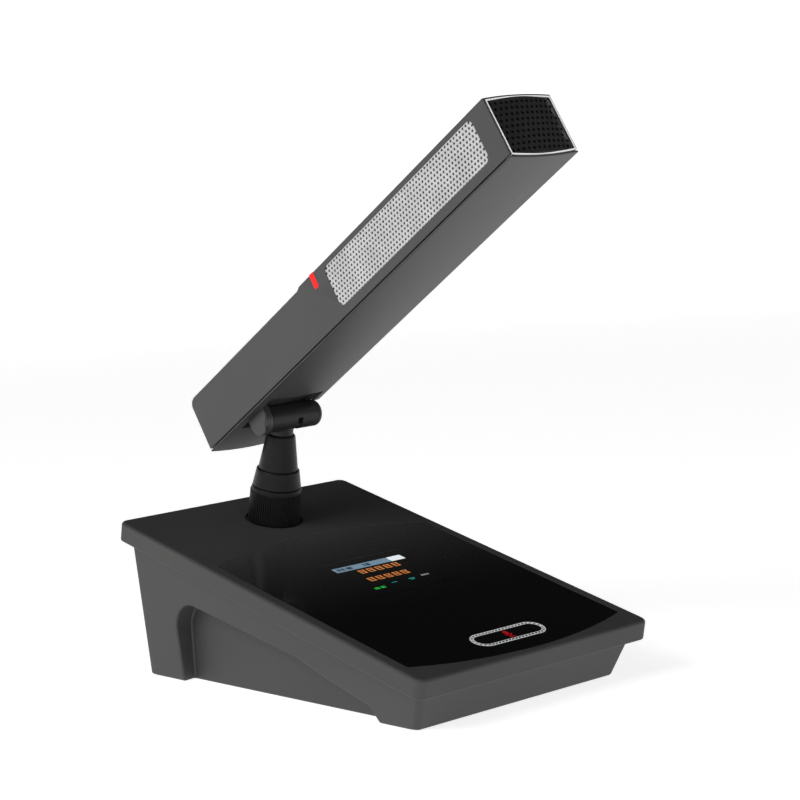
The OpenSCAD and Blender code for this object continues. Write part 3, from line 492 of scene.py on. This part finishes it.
def roundedOutline(width, height, radius, steps=8, centre=(0, 0), every=1000):
    corners = []
    for cx, cy, start in ((1, 1, 0), (-1, 1, 90), (-1, -1, 180), (1, -1, 270)):
        for i in range(steps + 1):
            a = math.radians(start + 90 * i / steps)
            corners.append((centre[0] + cx * (width / 2 - radius) + radius * math.cos(a),
                            centre[1] + cy * (height / 2 - radius) + radius * math.sin(a)))
    points = []
    for i, (x, y) in enumerate(corners):  # long sides are divided, so that they can bend
        nx, ny = corners[(i + 1) % len(corners)]
        parts = max(1, round(math.hypot(nx - x, ny - y) / every))
        points += [(x + (nx - x) * k / parts, y + (ny - y) * k / parts) for k in range(parts)]
    return points


def slab(points, low, high):  # closed prism over an outline, in mm
    bm = bmesh.new()
    lower = [bm.verts.new((x, y, low)) for x, y in points]
    upper = [bm.verts.new((x, y, high)) for x, y in points]
    bm.faces.new(upper)
    bm.faces.new(lower[::-1])
    for i in range(len(points)):
        j = (i + 1) % len(points)
        bm.faces.new((lower[i], lower[j], upper[j], upper[i]))
    return bm


def band(outer, inner, low, high):  # closed flat ring between two outlines of equal count
    bm = bmesh.new()
    rings = [[bm.verts.new((x, y, z)) for x, y in points]
             for points, z in ((outer, low), (outer, high), (inner, high), (inner, low))]
    count = len(outer)
    for a in range(4):
        b = (a + 1) % 4
        for i in range(count):
            j = (i + 1) % count
            bm.faces.new((rings[a][i], rings[a][j], rings[b][j], rings[b][i]))
    return bm


# The side sheets: "fromTail" is where they begin, "middle" and "topRow" are heights.
perforation = {"pitch": 2.165, "rowPitch": 1.9, "holeRadius": 0.62, "sheet": 0.8,
               "inset": 0.2, "length": 113.6, "height": 19.6, "corner": 3.0,
               "columns": 54, "rows": 11, "fromTail": 120.8, "middle": 15.1,
               "lastHole": 232.7, "topRow": 24.0}


def perforatedSheet(name, base, columns, rows, startX, startY, pitch, rowPitch, radius, depth,
                    finish, sides=10):
    t = Tree(name, Columns=columns, Rows=rows, StartX=startX * mm, StartY=startY * mm,
             Pitch=pitch * mm, RowPitch=rowPitch * mm, Radius=radius * mm, Depth=depth * mm,
             Finish=finishes[finish])
    given = t.given.outputs
    count = t.math("MULTIPLY", given["Columns"], given["Rows"])
    points = t.node("GeometryNodePoints", {}, {"Count": count})
    index = t.node("GeometryNodeInputIndex", {}, {})
    row = t.math("FLOOR", t.math("DIVIDE", t.math("ADD", index, 0.5), given["Columns"]))
    column = t.math("SUBTRACT", index, t.math("MULTIPLY", row, given["Columns"]))
    shift = t.math("MULTIPLY", t.math("MODULO", row, 2.0), 0.5)  # every second row is staggered
    across = t.math("MULTIPLY", t.math("ADD", column, shift), given["Pitch"])
    x = t.math("ADD", given["StartX"], across)
    y = t.math("SUBTRACT", given["StartY"], t.math("MULTIPLY", row, given["RowPitch"]))
    place = t.node("ShaderNodeCombineXYZ", {}, {"X": x, "Y": y})
    points = t.node("GeometryNodeSetPosition", {}, {"Geometry": points, "Position": place})
    hole = t.node("GeometryNodeMeshCylinder", {}, {"Vertices": sides, "Radius": given["Radius"],
                                                   "Depth": given["Depth"]})
    holes = t.node("GeometryNodeInstanceOnPoints", {}, {"Points": points, "Instance": hole})
    holes = t.node("GeometryNodeRealizeInstances", {}, {0: holes})
    cut = t.tree.nodes.new("GeometryNodeMeshBoolean")
    cut.operation, cut.solver = "DIFFERENCE", "MANIFOLD"
    t.tree.links.new(given["Geometry"], cut.inputs[0])
    t.tree.links.new(holes, cut.inputs[1])
    return t.made(cut.outputs[0], base)


def outward(mesh, smooth=30):  # all faces of a closed mesh turned outward
    bm = bmesh.new()
    bm.from_mesh(mesh)
    bmesh.ops.recalc_face_normals(bm, faces=bm.faces)
    bm.to_mesh(mesh)
    bm.free()
    mesh.shade_smooth()
    mesh.set_sharp_from_angle(angle=math.radians(smooth))
    return mesh


def sideGrille(node, side):
    p = perforation
    middle = p["fromTail"] + p["length"] / 2
    outline = roundedOutline(p["length"], p["height"], p["corner"], 8, (middle, p["middle"]))
    base = fromBmesh(node + "Base", slab(outline, -p["sheet"] / 2, p["sheet"] / 2),
                     Matrix.Identity(4))
    sheet = perforatedSheet("fine_" + node, base, p["columns"], p["rows"],
                            p["lastHole"] - (p["columns"] - 1) * p["pitch"], p["topRow"],
                            p["pitch"], p["rowPitch"], p["holeRadius"], 2 * p["sheet"],
                            "grilleSteel")
    # local x is the distance from the tail, local y is up the side, local z leaves the side
    out = mic["width"] / 2 - p["inset"] - p["sheet"] / 2
    turn = Matrix(((0, 0, side, side * out * mm), (-1, 0, 0, mic["pivotFromTail"] * mm),
                   (0, 1, 0, 0), (0, 0, 0, 1)))
    sheet.transform(micFrame @ turn)
    addPiece("fine_" + node, outward(sheet), "grilleSteel", "microphone", node)


sideGrille("side_grille_left", -1)
sideGrille("side_grille_right", 1)
print("side grilles")

# The sheet in the head: its edges are arched by "crown" and its face by "bulge".
headMesh = {"pitch": 2.78, "rowPitch": 2.72, "holeRadius": 0.78, "holeSides": 12, "sheet": 0.9,
            "columns": 12, "rows": 9, "bulge": 1.4, "edgeDepth": 0.5, "rim": 0.9, "trim": 0.8,
            "play": 0.05, "corner": 0.3, "edgeStep": 1.4, "crown": 1.0, "coverEdge": 0.3,
            "cutDepth": 8}


def endGrille():
    h = headMesh
    frameWidth = h["rim"] + h["trim"] + h["play"]
    half = mic["width"] / 2 - frameWidth
    top = mic["height"] - frameWidth
    low = frameWidth - h["coverEdge"]
    middle, height = (top + low) / 2, top - low
    outline = [(x, middle + (y - middle) * (1 + 2 * h["crown"] * (1 - (x / half) ** 2) / height))
               for x, y in roundedOutline(2 * half, height, h["corner"], 3, (0, middle),
                                          h["edgeStep"])]
    base = fromBmesh("endGrilleBase", slab(outline, -h["edgeDepth"] - h["sheet"],
                                           -h["edgeDepth"]), Matrix.Identity(4))
    sheet = perforatedSheet("fine_end_grille", base, h["columns"], h["rows"],
                            -h["pitch"] * (h["columns"] - 0.5) / 2,
                            middle + (h["rows"] - 1) * h["rowPitch"] / 2,
                            h["pitch"], h["rowPitch"], h["holeRadius"], h["cutDepth"],
                            "meshBlack", h["holeSides"])
    for v in sheet.vertices:  # the face bulges across its width
        v.co.z += h["bulge"] * mm * (1 - (v.co.x / (half * mm)) ** 2)
    turn = Matrix(((1, 0, 0, 0), (0, 0, -1, (mic["pivotFromTail"] - mic["length"]) * mm),
                   (0, 1, 0, 0), (0, 0, 0, 1)))
    sheet.transform(micFrame @ turn)
    addPiece("fine_end_grille", outward(sheet), "meshBlack", "microphone", "end_grille")


endGrille()
print("end grille")

# What lights up on the touch panel: x is across, v runs from the rear edge down the slope.
panelTop = max((coverFrame.inverted() @ v.co).z for v in nodes["touch_panel"].data.vertices) / mm
litSink = 0.1  # how far every lit shape reaches into the panel
talkKey = {"v": 185.9, "length": 39.6, "width": 12.0, "line": 0.2, "gap": 1.25, "ticks": 46,
           "tickLength": 1.3, "tickWidth": 0.34, "tickHeight": 0.12, "tickSink": 0.03,
           "slant": 52, "rise": 0.04}


def onPanel(v):
    return coverFrame @ Matrix.Translation((0, -v * mm, panelTop * mm))


def pill(grow, steps=14):
    k = talkKey
    return roundedOutline(k["length"] + 2 * grow, k["width"] + 2 * grow,
                          k["width"] / 2 + grow - 0.001, steps)


def keyOutline():
    k = talkKey
    bm = band(pill(0), pill(-k["line"]), -litSink, k["rise"])
    inside = -k["line"] - k["gap"]
    inner = band(pill(inside), pill(inside - k["line"]), -litSink, k["rise"])
    joined = fromBmesh("keyInner", inner)
    bm.from_mesh(joined)
    lines = fromBmesh("key_lines", bm, onPanel(k["v"]))
    addPiece("key_lines", lines, "keyWhite", "base", "key_outline")

    path = bpy.data.meshes.new("keyPath")
    points = pill(-k["line"] - k["gap"] / 2, 24)
    path.from_pydata([(x * mm, y * mm, 0) for x, y in points],
                     [(i, (i + 1) % len(points)) for i in range(len(points))], [])
    t = Tree("key_ticks", Count=k["ticks"], Length=k["tickLength"] * mm,
             Width=k["tickWidth"] * mm, Height=k["tickHeight"] * mm,
             Slant=math.radians(k["slant"]), Finish=finishes["keyWhite"])
    given = t.given.outputs
    curve = t.node("GeometryNodeMeshToCurve", {}, {0: given["Geometry"]})
    curve = t.node("GeometryNodeResampleCurve", {}, {"Curve": curve, "Count": given["Count"]})
    along = t.node("GeometryNodeInputTangent", {}, {})
    turn = t.node("FunctionNodeAlignRotationToVector", {"axis": "X"}, {"Vector": along})
    slant = t.node("ShaderNodeCombineXYZ", {}, {"Z": given["Slant"]})
    slant = t.node("FunctionNodeEulerToRotation", {}, {0: slant})
    turn = t.node("FunctionNodeRotateRotation", {"rotation_space": "LOCAL"},
                  {"Rotation": turn, "Rotate By": slant})
    size = t.node("ShaderNodeCombineXYZ", {}, {"X": given["Length"], "Y": given["Width"],
                                               "Z": given["Height"]})
    bar = t.node("GeometryNodeMeshCube", {}, {"Size": size})
    ticks = t.node("GeometryNodeInstanceOnPoints", {}, {"Points": curve, "Instance": bar,
                                                        "Rotation": turn})
    mesh = t.made(ticks, path)
    mesh.transform(onPanel(k["v"]) @ Matrix.Translation((0, 0, -k["tickSink"] * mm)))
    addPiece("key_ticks", mesh, "keyWhite", "base", slot="key_light")


keyOutline()


def plates(name, shapes, v, finish, rise=0.03, slot="screen", stands=()):
    bm = bmesh.new()
    for outline in shapes:
        part = fromBmesh(name + "Part", slab(outline, -litSink, rise))
        bm.from_mesh(part)
        bpy.data.meshes.remove(part)
    addPiece(name, fromBmesh(name, bm, onPanel(v)), finish, "base", *stands, slot=slot)


def block(x, y, width, height, radius=0.2):
    return roundedOutline(width, height, radius, 3, (x, y))


# The sign on the talk key: blocks are x, y, width, height and corner radius.
sign = {"blocks": ((0, -2.0, 0.5, 1.3, 0.2), (0, -2.8, 3.2, 0.5, 0.2)),
        "capsule": (0, 1.3, 1.9, 3.6, 0.9), "arcMiddle": 0.6, "arcOuter": 2.15,
        "arcInner": 1.65, "arcTurns": range(200, 341, 14), "rise": 0.04}


def symbol():  # a plain table microphone with its holder arc
    arc = [(r * math.cos(math.radians(a)), sign["arcMiddle"] + r * math.sin(math.radians(a)))
           for r, turns in ((sign["arcOuter"], sign["arcTurns"]),
                            (sign["arcInner"], sign["arcTurns"][::-1])) for a in turns]
    shapes = [block(*sign["capsule"]), arc] + [block(*b) for b in sign["blocks"]]
    plates("key_sign", shapes, talkKey["v"], "redSymbol", sign["rise"], None, ("key_symbol",))


symbol()

# The display: a bar with marks, two rows of glyphs made of strokes, and signs at the foot.
screenLook = {
    "barV": 96, "bar": (-3.2, 0, 31.6, 4.6, 0.3), "barEnd": (16.8, 0, 8.0, 4.6, 0.3),
    "marks": ((-16.5, 1.6), (-14.2, 1.6), (-10.6, 3.0), (-2.0, 0.9), (0.2, 2.2)),
    "markHeight": 2.4, "markCorner": 0.15, "markRise": 0.05,
    "rows": ((102, 2), (110.9, -0.4)), "glyphs": 5, "glyph": 4.1, "gap": 0.75,
    "stroke": 0.5, "strokeCorner": 0.12, "level": ((1.65, 0.9), (0.1, 0.7), (-1.6, 0.8)),
    "upright": ((-1.5, 3.0), (1.1, 3.6)),
    "foot": (
        ("foot_green", 120.2, "textGreen", ((-15.2, 0.5, 2.6, 0.6), (-15.2, -0.6, 2.6, 0.6),
                                            (-11.8, 0.5, 2.6, 0.6), (-11.8, -0.6, 2.6, 0.6))),
        ("foot_teal", 118.6, "textTeal", ((-3.5, 0.4, 3.2, 0.5), (6.5, 0.5, 3.4, 0.6),
                                          (6.5, -0.6, 2.2, 0.6))),
        ("foot_grey", 118.0, "textGrey", ((13.4, 0.4, 1.0, 1.4), (15.0, 0.4, 1.0, 1.4),
                                          (16.6, 0.4, 0.8, 1.4))))}


def screen():
    s = screenLook
    plates("status_bar", [block(*s["bar"])], s["barV"], "barBlue")
    plates("status_bar_end", [block(*s["barEnd"])], s["barV"], "barWhite")
    marks = [block(x, 0, width, s["markHeight"], s["markCorner"]) for x, width in s["marks"]]
    plates("status_marks", marks, s["barV"], "barDark", s["markRise"])
    line, corner = s["stroke"], s["strokeCorner"]
    for row, (v, centre) in enumerate(s["rows"]):
        shapes = []
        for i in range(s["glyphs"]):
            x = centre + (i - (s["glyphs"] - 1) / 2) * (s["glyph"] + s["gap"])
            shapes += [block(x, y, s["glyph"] * width, line, corner) for y, width in s["level"]]
            shapes += [block(x + dx, 0, line, height, corner) for dx, height in s["upright"]]
        plates(f"text_row_{row}", shapes, v, "textOrange")
    for name, v, finish, blocks in s["foot"]:
        plates(name, [block(*b) for b in blocks], v, finish)


screen()
print("panel lights")

# The studio is a pale dish all round, soft lights and a camera. Its lengths are in m.
studio = {"floor": 0.8, "floorDark": 0.985, "glow": 0.8, "radius": 2.6, "rise": 0.62,
          "bend": 0.5, "lean": 75, "rings": (0.4, 1.2), "bendSteps": 12, "roundSteps": 96,
          "drop": 0.0002, "air": (0.92, 0.95, 1.0, 1), "airStrength": 0.02}


def dish():
    s = studio
    flat, lean, count = s["radius"] - s["bend"], math.radians(s["lean"]), s["roundSteps"]
    profile = [(r, 0.0) for r in s["rings"]]
    for i in range(s["bendSteps"] + 1):
        a = lean * i / s["bendSteps"]
        profile.append((flat + s["bend"] * math.sin(a), s["bend"] * (1 - math.cos(a))))
    endRadius, endHeight = profile[-1]
    profile.append((endRadius + (s["rise"] - endHeight) / math.tan(lean), s["rise"]))
    bm = bmesh.new()
    turns = [2 * math.pi * i / count for i in range(count)]
    rings = [[bm.verts.new((r * math.cos(a), r * math.sin(a), z)) for a in turns]
             for r, z in profile]
    bm.faces.new(rings[0])
    for inner, outer in zip(rings, rings[1:]):
        for i in range(count):
            j = (i + 1) % count
            bm.faces.new((inner[i], outer[i], outer[j], inner[j]))
    mesh = bpy.data.meshes.new("studio_dish")
    bm.to_mesh(mesh)
    bm.free()
    mesh.shade_smooth()
    f = Finish("studioPaper")
    fibre = f.noise(1.4, 3, 0.6)
    cloud = f.noise(400, 2, 0.5)
    tone = f.blend(cloud, grey(s["floor"] * s["floorDark"]), grey(s["floor"]))
    mesh.materials.append(f.done(Base_Color=tone, Roughness=0.85 + 0.1 * fibre,
                                 Specular_IOR_Level=0.1, Emission_Color=(1, 1, 1, 1),
                                 Emission_Strength=s["glow"],
                                 Normal=f.bump(fibre, 0.02)))
    floor = bpy.data.objects.new("studio_dish", mesh)
    floor.location.z = min(v.co.z for v in nodes["rubber_feet"].data.vertices) - s["drop"]
    bpy.context.scene.collection.objects.link(floor)


dish()

lights = {  # azimuth, elevation, distance in m, width, height, power in W, warmth
    "keyLeft": (-96, 36, 1.5, 0.9, 0.6, 9.0, 0.0),
    "frontFill": (-30, 14, 1.9, 0.6, 0.4, 0.4, 0.0),
    "headGlint": (56, 38, 1.6, 0.5, 0.5, 0.9, 0.0),
    "topSoft": (-70, 62, 1.7, 1.0, 1.0, 2.0, 0.02)}
lightAim = (0, 0, 0.1)


def toward(azimuth, elevation):  # direction from the object, in radians round and up
    return Vector((math.sin(azimuth) * math.cos(elevation),
                   -math.cos(azimuth) * math.cos(elevation), math.sin(elevation)))


def softLight(name, azimuth, elevation, distance, width, height, power, warmth):
    data = bpy.data.lights.new(name, "AREA")
    data.shape, data.size, data.size_y = "RECTANGLE", width, height
    data.energy, data.color = power, (1, 1 - warmth, 1 - 2 * warmth)
    back = toward(math.radians(azimuth), math.radians(elevation))
    lamp = bpy.data.objects.new(name, data)
    lamp.location = Vector(lightAim) + back * distance
    lamp.rotation_mode = "QUATERNION"
    lamp.rotation_quaternion = back.to_track_quat("Z", "Y")
    lamp.visible_camera = False
    bpy.context.scene.collection.objects.link(lamp)


for name, values in lights.items():
    softLight(name, *values)

world = bpy.data.worlds.new("studioAir")
world.use_nodes = True
air = world.node_tree.nodes["Background"]
air.inputs["Color"].default_value = studio["air"]
air.inputs["Strength"].default_value = studio["airStrength"]
bpy.context.scene.world = world
bpy.context.scene.view_settings.view_transform = "Standard"

cameraSet = {"azimuth": -41.314, "elevation": 6.489, "roll": -3.754, "distance": 1423.4,
             "aim": (260.3, 282.2, 79.2), "lens": 107.48, "sensor": 36, "clip": (0.05, 50)}


def setCamera():
    c = cameraSet
    a, e, r = [math.radians(c[k]) for k in ("azimuth", "elevation", "roll")]
    back = toward(a, e)
    level = Vector((math.cos(a), math.sin(a), 0))
    up = back.cross(level)
    right = level * math.cos(r) + up * math.sin(r)
    over = up * math.cos(r) - level * math.sin(r)
    data = bpy.data.cameras.new("camera")
    data.lens, data.sensor_width = c["lens"], c["sensor"]
    data.clip_start, data.clip_end = c["clip"]
    camera = bpy.data.objects.new("camera", data)
    place = Matrix((right, over, back)).transposed().to_4x4()
    place.translation = (Vector(c["aim"]) + back * c["distance"]) * mm
    camera.matrix_world = place
    bpy.context.scene.collection.objects.link(camera)
    bpy.context.scene.camera = camera


setCamera()
print("studio")
